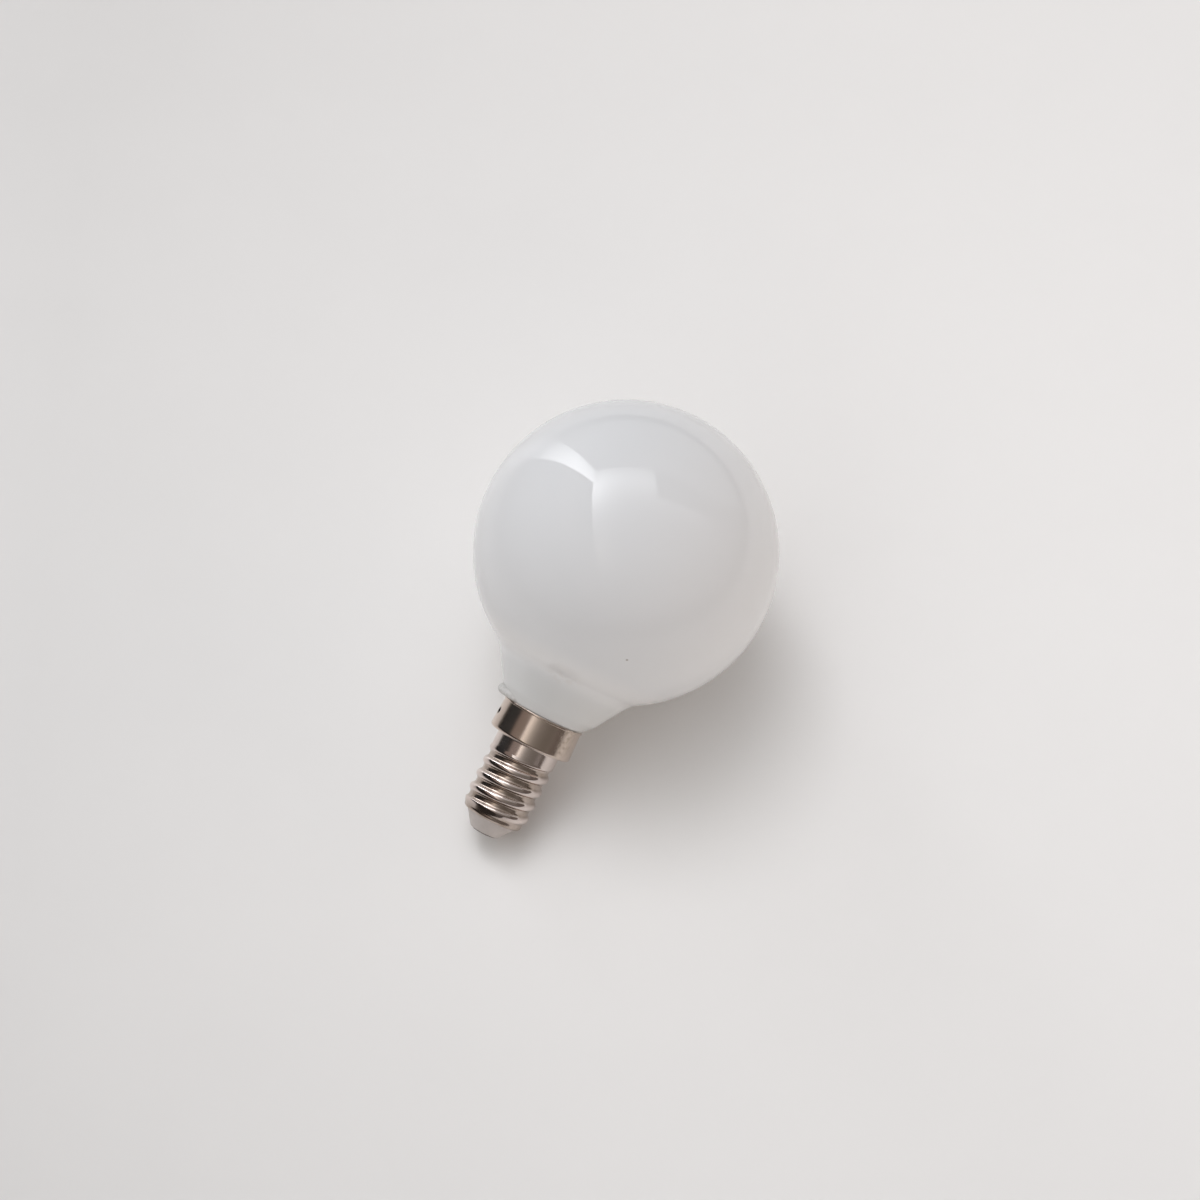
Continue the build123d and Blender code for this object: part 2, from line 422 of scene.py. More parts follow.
class Nodes:
    """One node tree, with short calls for the nodes that finishes and lights share."""

    def __init__(self, tree: bpy.types.NodeTree) -> None:
        """Empties the tree."""
        self.tree = tree
        tree.nodes.clear()

    def add(
        self,
        kind: str,
        inputs: dict[Union[str, int], Value] | None = None,
        **settings: object,
    ) -> bpy.types.Node:
        """New node with its settings and inputs.

        Args:
            kind: Blender's name of the node type, without its ShaderNode prefix.
            inputs: Values or sockets for the inputs, by name or number.
            settings: Properties of the node.

        Returns:
            The node.
        """
        node = self.tree.nodes.new("ShaderNode" + kind)
        for name, value in settings.items():
            setattr(node, name, value)
        for name, value in (inputs or {}).items():
            self.feed(node.inputs[name], value)
        return node

    def feed(self, socket: Socket, value: Value) -> None:
        """Links a socket to an input, or sets the input to a number or colour."""
        if isinstance(value, Socket):
            self.tree.links.new(value, socket)
        elif socket.type == "RGBA":
            socket.default_value = (*value, 1.0)
        else:
            socket.default_value = value

    def math(self, operation: str, *values: Value) -> Socket:
        """Result of a Math node on one to three values."""
        return self.add("Math", dict(enumerate(values)), operation=operation).outputs[0]

    def clamped(self, operation: str, *values: Value) -> Socket:
        """Result of a Math node, held between 0 and 1."""
        return self.add("Math", dict(enumerate(values)), operation=operation, use_clamp=True).outputs[0]

    def most(self, *values: Value) -> Socket:
        """Largest of several values."""
        largest = values[0]
        for value in values[1:]:
            largest = self.math("MAXIMUM", largest, value)
        return largest

    def dot(self, vector: Socket, direction: np.ndarray) -> Socket:
        """Part of a vector along a fixed direction."""
        inputs = {0: vector, 1: tuple(float(part) for part in direction)}
        return self.add("VectorMath", inputs, operation="DOT_PRODUCT").outputs["Value"]

    def stretched(self, vector: Socket, factors: Place) -> Socket:
        """A place with each of its directions scaled."""
        return self.add("VectorMath", {0: vector, 1: factors}, operation="MULTIPLY").outputs[0]

    def length(self, vector: Socket) -> Socket:
        """Length of a vector."""
        return self.add("VectorMath", {0: vector}, operation="LENGTH").outputs["Value"]

    def spot(self, vector: Socket, centre: Place, reach: Place, blur: float) -> Socket:
        """1 inside an egg-shaped spot and 0 outside it.

        Args:
            vector: Place on the piece.
            centre: Middle of the spot.
            reach: Half size of the spot in each direction.
            blur: Half width of the spot's edge, as a share of its reach.

        Returns:
            The spot's strength.
        """
        offset = self.add("VectorMath", {0: vector, 1: centre}, operation="SUBTRACT").outputs[0]
        share = self.stretched(offset, tuple(1 / size for size in reach))
        return self.math("SUBTRACT", 1.0, self.step(self.length(share), 1.0, blur))

    def step(self, value: Value, edge: float, blur: float) -> Socket:
        """Smooth change from 0 below an edge to 1 above it, over a width of twice the blur."""
        inputs = {"Value": value, "From Min": edge - blur, "From Max": edge + blur}
        return self.add("MapRange", inputs, interpolation_type="SMOOTHSTEP").outputs[0]

    def band(self, value: Value, low: float, high: float, blur: float) -> Socket:
        """1 between two edges and 0 outside them."""
        rise = self.step(value, low, blur)
        return self.math("SUBTRACT", rise, self.step(value, high, blur))

    def scaled(self, value: Value, low: float, high: float) -> Socket:
        """A value from 0 to 1 carried to another range."""
        return self.math("MULTIPLY_ADD", value, high - low, low)

    def mix(self, share: Value, first: Value, second: Value) -> Socket:
        """Colour between two colours."""
        return self.add("Mix", {0: share, 6: first, 7: second}, data_type="RGBA").outputs[2]

    def tinted(self, colour: Value, strength: Value) -> Socket:
        """A colour times a strength."""
        return self.add("VectorMath", {0: colour, "Scale": strength}, operation="SCALE").outputs[0]

    def ramp(self, value: Value, low: float, high: float) -> Socket:
        """Even change from 0 at one value to 1 at another."""
        return self.add("MapRange", {"Value": value, "From Min": low, "From Max": high}).outputs[0]

    def noise(self, vector: Socket, size: float, detail: Detail = Detail.PLAIN) -> Socket:
        """Noise from 0 to 1 about its middle, with waves of a size in the vector's own unit."""
        inputs = {"Vector": vector, "Scale": 1 / size, "Detail": detail.value}
        return self.add("TexNoise", inputs).outputs[0]

    def blots(self, vector: Socket, size: float, blur: float, detail: Detail) -> Socket:
        """Noise with its two halves drawn apart to 0 and 1, over a blur about its middle."""
        return self.step(self.noise(vector, size, detail), NOISE_MIDDLE, blur)

    def bump(self, height: Value, depth: float, below: Socket | None = None) -> Socket:
        """Normal of a surface with a height from 0 to 1, over a depth in millimetres.

        Args:
            height: Height of the surface.
            depth: Depth from height 0 to height 1.
            below: Normal of a coarser bump that this one lies on.

        Returns:
            The normal.
        """
        inputs = {"Height": height, "Distance": depth * MM, "Strength": 1.0}
        if below is not None:
            inputs["Normal"] = below
        return self.add("Bump", inputs).outputs[0]

    def object_place(self) -> Socket:
        """Place on the piece, in metres."""
        return self.add("TexCoord").outputs["Object"]

    def bulb_place(self, axis: BulbAxis) -> Socket:
        """Place in the bulb's directions, x down, y to the side and z along the axis, in millimetres."""
        inputs = {
            "Vector": self.object_place(),
            "Location": tuple(float(part) for part in axis.centre),
            "Rotation": tuple(axis.turn().to_euler()),
            "Scale": (MM, MM, MM),
        }
        return self.add("Mapping", inputs, vector_type="TEXTURE").outputs[0]

    def finish(self, shader: bpy.types.Node) -> None:
        """Ends a material's tree with its shader."""
        output = self.add("OutputMaterial")
        self.tree.links.new(shader.outputs[0], output.inputs["Surface"])


def new_material(name: str) -> tuple[bpy.types.Material, Nodes]:
    """Empty material and its node tree."""
    material = bpy.data.materials.new(name)
    material.use_nodes = True
    return material, Nodes(material.node_tree)


@dataclass(frozen=True)
class OpalGlass:
    """Milky white glass under a clear gloss, darker at the neck, with a faint stain and one speck.

    Places are in the bulb's own directions, in millimetres.
    """

    colour: Colour = (0.738, 0.743, 0.754)
    cloud_colour: Colour = (0.722, 0.727, 0.737)
    cloud_size: float = 16.0
    neck_colour: Colour = (0.642, 0.645, 0.64)
    neck_from: float = 23.5
    neck_blend: float = 4.0
    flare_painted_light_colour: Colour = (0.79, 0.787, 0.787)
    flare_at: float = 21.5
    flare_reach: float = 1.8
    stain_colour: Colour = (0.58, 0.53, 0.48)
    stain_at: Place = (-12.2, 2.6, 23.0)
    stain_reach: Place = (1.6, 2.6, 1.1)
    stain_blur: float = 0.7
    stain_grain: float = 0.9
    stain_grain_blur: float = 0.15
    stain_share: float = 0.22
    speck_colour: Colour = (0.3, 0.26, 0.23)
    speck_at: Place = (-17.62, 12.18, 15.09)
    speck_reach: Place = (0.2, 0.2, 0.2)
    speck_blur: float = 0.4
    speck_share: float = 0.7
    haze_size: float = 9.0
    roughness: tuple[float, float] = (0.004, 0.014)
    ripple_size: float = 24.0
    ripple_depth: float = 0.02
    ior: float = 1.5

    def material(self, axis: BulbAxis) -> bpy.types.Material:
        """Builds the material.

        Args:
            axis: Where the bulb lies.

        Returns:
            The material.
        """
        material, nodes = new_material("opal_glass")
        place = nodes.bulb_place(axis)
        along = nodes.add("SeparateXYZ", {0: place}).outputs["Z"]
        colour = nodes.mix(nodes.noise(place, self.cloud_size), self.cloud_colour, self.colour)
        colour = nodes.mix(nodes.step(along, self.neck_from, self.neck_blend), colour, self.neck_colour)
        # Painted light: a paler band at the neck's flare brightens the shade that falls in the crease
        # between ball and neck.
        flare_from = self.flare_at - self.flare_reach
        flare_to = self.flare_at + self.flare_reach
        flare_painted_light = nodes.band(along, flare_from, flare_to, self.flare_reach)
        colour = nodes.mix(flare_painted_light, colour, self.flare_painted_light_colour)
        stain = nodes.spot(place, self.stain_at, self.stain_reach, self.stain_blur)
        patches = nodes.blots(place, self.stain_grain, self.stain_grain_blur, Detail.FINEST)
        stain = nodes.math("MULTIPLY", stain, patches)
        colour = nodes.mix(nodes.math("MULTIPLY", stain, self.stain_share), colour, self.stain_colour)
        speck = nodes.spot(place, self.speck_at, self.speck_reach, self.speck_blur)
        colour = nodes.mix(nodes.math("MULTIPLY", speck, self.speck_share), colour, self.speck_colour)
        haze = nodes.noise(place, self.haze_size, Detail.FINEST)
        ripple = nodes.bump(nodes.noise(place, self.ripple_size, Detail.SMOOTH), self.ripple_depth)
        shader = nodes.add(
            "BsdfPrincipled",
            {
                "Base Color": colour,
                "Roughness": nodes.scaled(haze, *self.roughness),
                "IOR": self.ior,
                "Normal": ripple,
            },
        )
        nodes.finish(shader)
        return material


@dataclass(frozen=True)
class NickelPlate:
    """Bright nickel plate: faint turning lines, an uneven gloss, dull grooves and a worn patch, whose dark
    tone is partly a painted reflection of the shadowed floor.

    Places are in the bulb's own directions, in millimetres.
    """

    colour: Colour = (0.785, 0.69, 0.645)
    collar_colour: Colour = (0.705, 0.595, 0.52)
    dull_colour: Colour = (0.4, 0.32, 0.26)
    mark_painted_shade_colour: Colour = (0.03, 0.028, 0.026)
    scuff_and_painted_reflection_colour: Colour = (0.38, 0.32, 0.25)
    roughness: tuple[float, float] = (0.13, 0.2)
    thread_gloss: float = 0.5
    dull_roughness: float = 0.14
    scuff_roughness: float = 0.25
    groove_rise: float = 0.3
    groove_blur: float = 0.2
    groove_from: float = 0.6
    groove_fade: float = 0.4
    groove_dullness: tuple[float, float] = (0.1, 1.3)
    zone_blur: float = 0.3
    cloud_size: float = 1.8
    line_factors: Place = (0.12, 0.12, 14.0)
    line_depth: float = 0.0006
    peel_size: float = 0.7
    peel_depth: float = 0.0018
    wave_size: float = 3.6
    wave_depth: float = 0.012
    scuff_at: Place = (-3.55, 6.32, 33.2)
    scuff_reach: Place = (1.7, 1.3, 2.6)
    scuff_blur: float = 0.6
    scuff_grain: float = 0.7
    scuff_grain_blur: float = 0.25
    scuff_share: float = 0.75
    mark_reach: Place = (0.75, 0.75, 0.62)
    mark_blur: float = 0.25

    def material(self, axis: BulbAxis, sizes: BulbSizes, marks: list[Place]) -> bpy.types.Material:
        """Builds the material.

        Args:
            axis: Where the bulb lies.
            sizes: Sizes of the bulb.
            marks: Middles of the punched marks, which are painted near black as shade and dark reflection
                in their hollows.

        Returns:
            The material.
        """
        material, nodes = new_material("nickel_plate")
        place = nodes.bulb_place(axis)
        along = nodes.add("SeparateXYZ", {0: place}).outputs["Z"]
        radius = nodes.length(nodes.stretched(place, (1.0, 1.0, 0.0)))
        cloud = nodes.noise(place, self.cloud_size, Detail.FINE)
        raised = nodes.step(radius, sizes.core_radius + self.groove_rise, self.groove_blur)
        past_land = nodes.step(along, sizes.land_end_at + self.groove_from, self.groove_fade)
        groove = nodes.math("MULTIPLY", nodes.math("SUBTRACT", 1.0, raised), past_land)
        dull = nodes.clamped("MULTIPLY", groove, nodes.scaled(cloud, *self.groove_dullness))
        # Worn patch: real scuffs that are rougher, with a dark tone that is partly a painted reflection of
        # the shadowed floor.
        grain = nodes.blots(place, self.scuff_grain, self.scuff_grain_blur, Detail.FINE)
        scuff_and_painted_reflection = nodes.spot(place, self.scuff_at, self.scuff_reach, self.scuff_blur)
        scuff_and_painted_reflection = nodes.math("MULTIPLY", scuff_and_painted_reflection, grain)
        # Painted shade: the punched marks are painted near black, standing for shade and dark reflection in
        # their hollows.
        mark_painted_shade = nodes.most(*[nodes.spot(place, centre, self.mark_reach, self.mark_blur) for centre in marks])
        below = nodes.step(along, sizes.collar_end_at, self.zone_blur)
        colour = nodes.mix(below, self.collar_colour, self.colour)
        colour = nodes.mix(dull, colour, self.dull_colour)
        colour = nodes.mix(nodes.math("MULTIPLY", scuff_and_painted_reflection, self.scuff_share), colour, self.scuff_and_painted_reflection_colour)
        colour = nodes.mix(mark_painted_shade, colour, self.mark_painted_shade_colour)
        lines = nodes.noise(nodes.stretched(place, self.line_factors), 1.0, Detail.FINE)
        rough = nodes.scaled(cloud, *self.roughness)
        rolled = nodes.step(along, sizes.land_end_at, self.zone_blur)
        rough = nodes.math("MULTIPLY", rough, nodes.scaled(rolled, 1.0, self.thread_gloss))
        rough = nodes.math("MULTIPLY_ADD", dull, self.dull_roughness, rough)
        rough = nodes.math("MULTIPLY_ADD", scuff_and_painted_reflection, self.scuff_roughness, rough)
        normal = nodes.bump(nodes.noise(place, self.wave_size, Detail.SMOOTH), self.wave_depth)
        normal = nodes.bump(nodes.noise(place, self.peel_size), self.peel_depth, normal)
        normal = nodes.bump(lines, self.line_depth, normal)
        shader = nodes.add(
            "BsdfPrincipled",
            {"Base Color": colour, "Roughness": rough, "Metallic": 1.0, "Normal": normal},
        )
        nodes.finish(shader)
        return material


@dataclass(frozen=True)
class GrainyFinish:
    """Finish of a plain piece: two colours in clouds, an uneven gloss and a grain.

    Sizes are in millimetres.
    """

    name: str
    colour: Colour
    cloud_colour: Colour
    cloud_size: float
    roughness: tuple[float, float]
    grain_size: float
    grain_depth: float
    metallic: float = 0.0
    cloud_blur: float = 0.2

    def material(self, axis: BulbAxis) -> bpy.types.Material:
        """Builds the material.

        Args:
            axis: Where the bulb lies.

        Returns:
            The material.
        """
        material, nodes = new_material(self.name)
        place = nodes.bulb_place(axis)
        cloud = nodes.blots(place, self.cloud_size, self.cloud_blur, Detail.FINEST)
        grain = nodes.noise(place, self.grain_size, Detail.FINE)
        shader = nodes.add(
            "BsdfPrincipled",
            {
                "Base Color": nodes.mix(cloud, self.colour, self.cloud_colour),
                "Roughness": nodes.scaled(grain, *self.roughness),
                "Metallic": self.metallic,
                "Normal": nodes.bump(grain, self.grain_depth),
            },
        )
        nodes.finish(shader)
        return material


class Plain(Enum):
    """Finishes of the pieces that have no feature of their own."""

    CEMENT = GrainyFinish(
        name="cement",
        colour=(0.5, 0.49, 0.475),
        cloud_colour=(0.62, 0.61, 0.595),
        cloud_size=0.6,
        roughness=(0.75, 0.95),
        grain_size=0.22,
        grain_depth=0.06,
    )
    PLASTIC = GrainyFinish(
        name="insulator",
        colour=(0.456, 0.415, 0.392),
        cloud_colour=(0.496, 0.452, 0.43),
        cloud_size=1.4,
        roughness=(0.36, 0.5),
        grain_size=0.16,
        grain_depth=0.006,
    )
    # Painted shade: the contact's near-black browns darken the end of the tip where shade falls.
    CONTACT = GrainyFinish(
        name="contact",
        colour=(0.2, 0.175, 0.15),
        cloud_colour=(0.12, 0.1, 0.09),
        cloud_size=0.7,
        roughness=(0.3, 0.5),
        grain_size=0.12,
        grain_depth=0.006,
        metallic=1.0,
    )


@dataclass(frozen=True)
class GlassGlobe:
    """Blown envelope: ball, tapering neck with a rounded foot, and the tube inside the collar."""

    flare_rounding: float = 4.5
    foot_rounding: float = 3.0
    shoulder_rounding: float = 0.35
    tube_depth: float = 3.6
    columns: int = 288
    step: float = 0.3
    ball_step: float = 0.55

    def outline(self, sizes: BulbSizes) -> np.ndarray:
        """Half section: the ball's arc, an arc tangent to ball and neck, then the neck's rounded corners.

        The arc between ball and neck has its centre one rounding outside both of them, which gives a
        quadratic for its place along the neck.

        Args:
            sizes: Sizes of the bulb.

        Returns:
            Pairs of radius and distance along the axis.
        """
        top = np.array([sizes.neck_top_radius, sizes.neck_top_at])
        foot = np.array([sizes.neck_foot_radius, sizes.neck_foot_at])
        neck = (foot - top) / np.hypot(*(foot - top))
        outward = np.array([neck[1], -neck[0]])
        base = top + outward * self.flare_rounding
        half = float(base @ neck)
        gap = float(base @ base) - (sizes.globe_radius + self.flare_rounding) ** 2
        centre = base + neck * (math.sqrt(half**2 - gap) - half)
        on_ball = centre * sizes.globe_radius / np.hypot(*centre)
        on_neck = centre - outward * self.flare_rounding
        equator = np.array([sizes.globe_radius, 0.0])
        tube_end = sizes.rim_at + self.tube_depth
        lower = rounded_outline(
            [
                (on_neck[0], on_neck[1], 0),
                (foot[0], foot[1], self.foot_rounding),
                (sizes.rim_radius, sizes.shoulder_at, self.shoulder_rounding),
                (sizes.neck_tube_radius, sizes.shoulder_at, 0),
                (sizes.neck_tube_radius, tube_end, 0),
                (0.0, tube_end, 0),
            ],
            self.step,
        )
        return np.concatenate([
            arc_points(np.zeros(2), np.array([0.0, -sizes.globe_radius]), equator, self.ball_step)[:-1],
            arc_points(np.zeros(2), equator, on_ball, self.ball_step)[:-1],
            arc_points(centre, on_ball, on_neck, self.step)[:-1],
            lower,
        ])

    def build(self, axis: BulbAxis, sizes: BulbSizes) -> bpy.types.Object:
        """Makes the piece.

        Args:
            axis: Where the bulb lies.
            sizes: Sizes of the bulb.

        Returns:
            The new object.
        """
        return turned_object("opal_globe", axis, self.outline(sizes), self.columns, closed=False)


@dataclass(frozen=True)
class ScrewShell:
    """Drawn sheet shell: rim lip, collar with punched marks, land, rolled thread and turned-in end."""

    lip_out: float = 0.16
    lip_height: float = 0.4
    lip_rounding: float = 0.12
    collar_rounding: float = 0.5
    land_rounding: float = 0.3
    land_slope: float = 0.5
    end_rounding: float = 0.65
    run_in: float = 1.2
    run_out: float = 1.4
    start_angle: float = -5.0
    blend: float = 0.06
    mark_count: int = 2
    mark_radius: float = 0.95
    mark_depth: float = 0.35
    mark_below_rim: float = 2.65
    mark_angle: float = 65.0
    columns: int = 300
    step: float = 0.09

    def outline(self, sizes: BulbSizes) -> np.ndarray:
        """Closed half section of the sheet before its thread: outer side from rim to end, then inner side.

        Args:
            sizes: Sizes of the bulb.

        Returns:
            Pairs of radius and distance along the axis, without a repeat of the first.
        """
        lip_end = sizes.rim_at + self.lip_height
        lip_radius = sizes.rim_radius + self.lip_out
        floor_at = sizes.collar_end_at - sizes.sheet
        end_floor = sizes.shell_end_at - sizes.sheet
        outer = rounded_outline(
            [
                (sizes.rim_radius - sizes.sheet, sizes.rim_at, 0),
                (lip_radius, sizes.rim_at, self.lip_rounding),
                (lip_radius, lip_end, self.lip_rounding),
                (sizes.collar_radius_at(lip_end), lip_end, 0),
                (sizes.collar_radius, sizes.collar_end_at, self.collar_rounding),
                (sizes.land_radius, sizes.collar_end_at, self.land_rounding),
                (sizes.land_radius, sizes.land_end_at, 0),
                (sizes.core_radius, sizes.land_end_at + self.land_slope, 0),
                (sizes.core_radius, sizes.shell_end_at, self.end_rounding),
                (sizes.end_hole_radius, sizes.shell_end_at, 0),
            ],
            self.step,
        )
        inner = np.array([
            (sizes.end_hole_radius, end_floor),
            (sizes.bore_radius, end_floor),
            (sizes.bore_radius, floor_at),
            (sizes.collar_radius_at(floor_at) - sizes.sheet, floor_at),
        ])
        return np.concatenate([outer, inner])

    def thread(self, sizes: BulbSizes, angle: np.ndarray, distance: np.ndarray) -> np.ndarray:
        """Radius of the rolled thread: a wave of equal arcs across the pitch that climbs with the angle.

        The wave is held under a cone that lets it rise out of the land and one that lets it run out.

        Args:
            sizes: Sizes of the bulb.
            angle: Turn about the axis, in radians.
            distance: Distance along the axis.

        Returns:
            Radius of the thread.
        """
        pitch = sizes.thread_pitch
        half_foot = pitch / 2 - sizes.groove_flat / 4
        climb = pitch * (angle - math.radians(self.start_angle)) / FULL_TURN
        offset = distance - (sizes.land_end_at - half_foot) - climb
        near = np.abs((offset + pitch / 2) % pitch - pitch / 2)
        arc = sizes.wave_radius
        crest = sizes.thread_radius - arc + np.sqrt(arc**2 - np.minimum(near, pitch / 4) ** 2)
        into_groove = pitch / 2 - np.maximum(near, pitch / 4)
        groove = sizes.thread_radius - sizes.thread_depth + arc - np.sqrt(arc**2 - into_groove**2)
        wave = np.where(near < pitch / 4, crest, groove)
        end_at = sizes.shell_end_at - self.end_rounding
        places = [sizes.land_end_at, sizes.land_end_at + self.run_in, end_at - self.run_out, end_at]
        radii = [sizes.land_radius, sizes.thread_radius, sizes.thread_radius, sizes.core_radius]
        limit = np.interp(distance, places, radii) + self.blend / 2
        return soft_min(wave, limit, self.blend)

    def marks(self, sizes: BulbSizes, angle: np.ndarray, distance: np.ndarray) -> np.ndarray:
        """Depth of the punched marks: the cap of a ball sunk into the collar, with its edge rounded over.

        Args:
            sizes: Sizes of the bulb.
            angle: Turn about the axis, in radians.
            distance: Distance along the axis.

        Returns:
            Depth below the collar's surface.
        """
        first = math.radians(self.mark_angle)
        spacing = FULL_TURN / self.mark_count
        turn = (angle - first + spacing / 2) % spacing - spacing / 2
        across = sizes.collar_radius * turn
        down = distance - (sizes.rim_at + self.mark_below_rim)
        reach = np.minimum(across**2 + down**2, self.mark_radius**2)
        depth = np.sqrt(self.mark_radius**2 - reach) - (self.mark_radius - self.mark_depth)
        return np.maximum(soft_max(depth, np.zeros_like(depth), self.blend) - self.blend / 2, 0.0)

    def mark_places(self, sizes: BulbSizes) -> list[Place]:
        """Middles of the punched marks on the collar, in the bulb's own directions."""
        turns = math.radians(self.mark_angle) + FULL_TURN * np.arange(self.mark_count) / self.mark_count
        along = sizes.rim_at + self.mark_below_rim
        radius = sizes.collar_radius_at(along)
        return [(radius * math.cos(turn), radius * math.sin(turn), along) for turn in turns]

    def build(self, axis: BulbAxis, sizes: BulbSizes) -> bpy.types.Object:
        """Makes the piece.

        Args:
            axis: Where the bulb lies.
            sizes: Sizes of the bulb.

        Returns:
            The new object.
        """
        outline = self.outline(sizes)
        angle = FULL_TURN * np.arange(self.columns) / self.columns
        shape = (len(outline), self.columns)
        radius = np.broadcast_to(outline[:, :1], shape)
        distance = np.broadcast_to(outline[:, 1:], shape)
        angle = np.broadcast_to(angle, shape)
        end_at = sizes.shell_end_at - self.end_rounding
        outside = radius > sizes.core_radius - sizes.sheet / 2
        threaded = outside & (distance > sizes.land_end_at) & (distance < end_at)
        raised = soft_max(radius, self.thread(sizes, angle, distance), self.blend) - self.blend / 2
        on_collar = outside & (radius > sizes.collar_radius_at(distance) - sizes.sheet / 2)
        on_collar &= distance < sizes.collar_end_at
        radius = np.where(threaded, np.maximum(raised, radius), radius)
        radius = np.where(on_collar, radius - self.marks(sizes, angle, distance), radius)
        return ring_object("nickel_shell", axis.place(radius, angle, distance), closed=True)


@dataclass(frozen=True)
class BaseInsulator:
    """Moulded cone that closes the shell's end, with a flange behind the turned-in end."""

    tip_radius: float = 2.6
    tip_rounding: float = 0.22
    flange_height: float = 1.5
    fit: float = 0.03
    columns: int = 160
    step: float = 0.12

    def build(self, axis: BulbAxis, sizes: BulbSizes) -> bpy.types.Object:
        """Makes the piece.

        Args:
            axis: Where the bulb lies.
            sizes: Sizes of the bulb.

        Returns:
            The new object.
        """
        end_floor = sizes.shell_end_at - sizes.sheet
        plug = sizes.end_hole_radius - self.fit
        flange = sizes.bore_radius - self.fit
        outline = rounded_outline(
            [
                (0.0, end_floor - self.flange_height, 0),
                (flange, end_floor - self.flange_height, 0),
                (flange, end_floor, 0),
                (plug, end_floor, 0),
                (plug, sizes.shell_end_at, 0),
                (self.tip_radius, sizes.tip_at, self.tip_rounding),
                (0.0, sizes.tip_at, 0),
            ],
            self.step,
        )
        return turned_object("insulator_cone", axis, outline, self.columns, closed=False)


@dataclass(frozen=True)
class CentreContact:
    """Domed button on the end of the insulator, with its shank."""

    radius: float = 2.15
    edge: float = 0.15
    rise: float = 0.25
    shank_radius: float = 0.9
    shank_length: float = 1.6
    columns: int = 96
    step: float = 0.08

    def build(self, axis: BulbAxis, sizes: BulbSizes) -> bpy.types.Object:
        """Makes the piece.

        Args:
            axis: Where the bulb lies.
            sizes: Sizes of the bulb.

        Returns:
            The new object.
        """
        edge_at = sizes.tip_at + self.edge
        dome = (self.radius**2 + self.rise**2) / (2 * self.rise)
        dome_centre = np.array([0.0, edge_at + self.rise - dome])
        lower = rounded_outline(
            [
                (0.0, sizes.tip_at - self.shank_length, 0),
                (self.shank_radius, sizes.tip_at - self.shank_length, 0),
                (self.shank_radius, sizes.tip_at, 0),
                (self.radius, sizes.tip_at, 0),
                (self.radius, edge_at, 0),
            ],
            self.step,
        )
        rim = np.array([self.radius, edge_at])
        top = np.array([0.0, edge_at + self.rise])
        crown = arc_points(dome_centre, rim, top, self.step)
        outline = np.concatenate([lower[:-1], crown])
        return turned_object("contact_button", axis, outline, self.columns, closed=False)


@dataclass(frozen=True)
class PhotoCamera:
    """Camera at the photograph's angle, set so that the globe has its place and size in the picture.

    Angles are in degrees, the lens and sensor in millimetres, and places in the picture in pixels.
    """

    azimuth: float = 120.0
    elevation: float = 64.5
    lens: float = 85.0
    sensor: float = 36.0
    picture: float = 1200.0
    globe_at: tuple[float, float] = (626.0, 553.0)
    globe_radius: float = 153.3

    def directions(self) -> tuple[np.ndarray, np.ndarray, np.ndarray]:
        """Unit directions to the picture's right, to its top and from the bulb to the camera."""
        turn = math.radians(self.azimuth)
        lift = math.radians(self.elevation)
        right = np.array([math.cos(turn), math.sin(turn), 0.0])
        back = np.array([math.sin(turn) * math.cos(lift), -math.cos(turn) * math.cos(lift), math.sin(lift)])
        return right, np.cross(back, right), back

    def level_directions(self) -> tuple[np.ndarray, np.ndarray]:
        """Unit directions on the level to the picture's right and away from the camera."""
        right, _, back = self.directions()
        return right, np.array([-back[0], -back[1], 0.0]) / math.hypot(back[0], back[1])

    def build(self, axis: BulbAxis) -> bpy.types.Object:
        """Makes the camera and gives it to the scene.

        Args:
            axis: Where the bulb lies.

        Returns:
            The camera.
        """
        right, up, back = self.directions()
        focal = self.lens / self.sensor * self.picture
        depth = focal * axis.globe_radius / self.globe_radius
        across = (self.globe_at[0] - self.picture / 2) / focal * depth
        below = (self.globe_at[1] - self.picture / 2) / focal * depth
        place = axis.centre + back * depth - right * across + up * below
        data = bpy.data.cameras.new("camera")
        data.lens = self.lens
        data.sensor_width = self.sensor
        camera = bpy.data.objects.new("camera", data)
        turn = Matrix([right, up, back]).transposed().to_4x4()
        camera.matrix_world = Matrix.Translation(place.tolist()) @ turn
        bpy.context.scene.collection.objects.link(camera)
        bpy.context.scene.camera = camera
        return camera


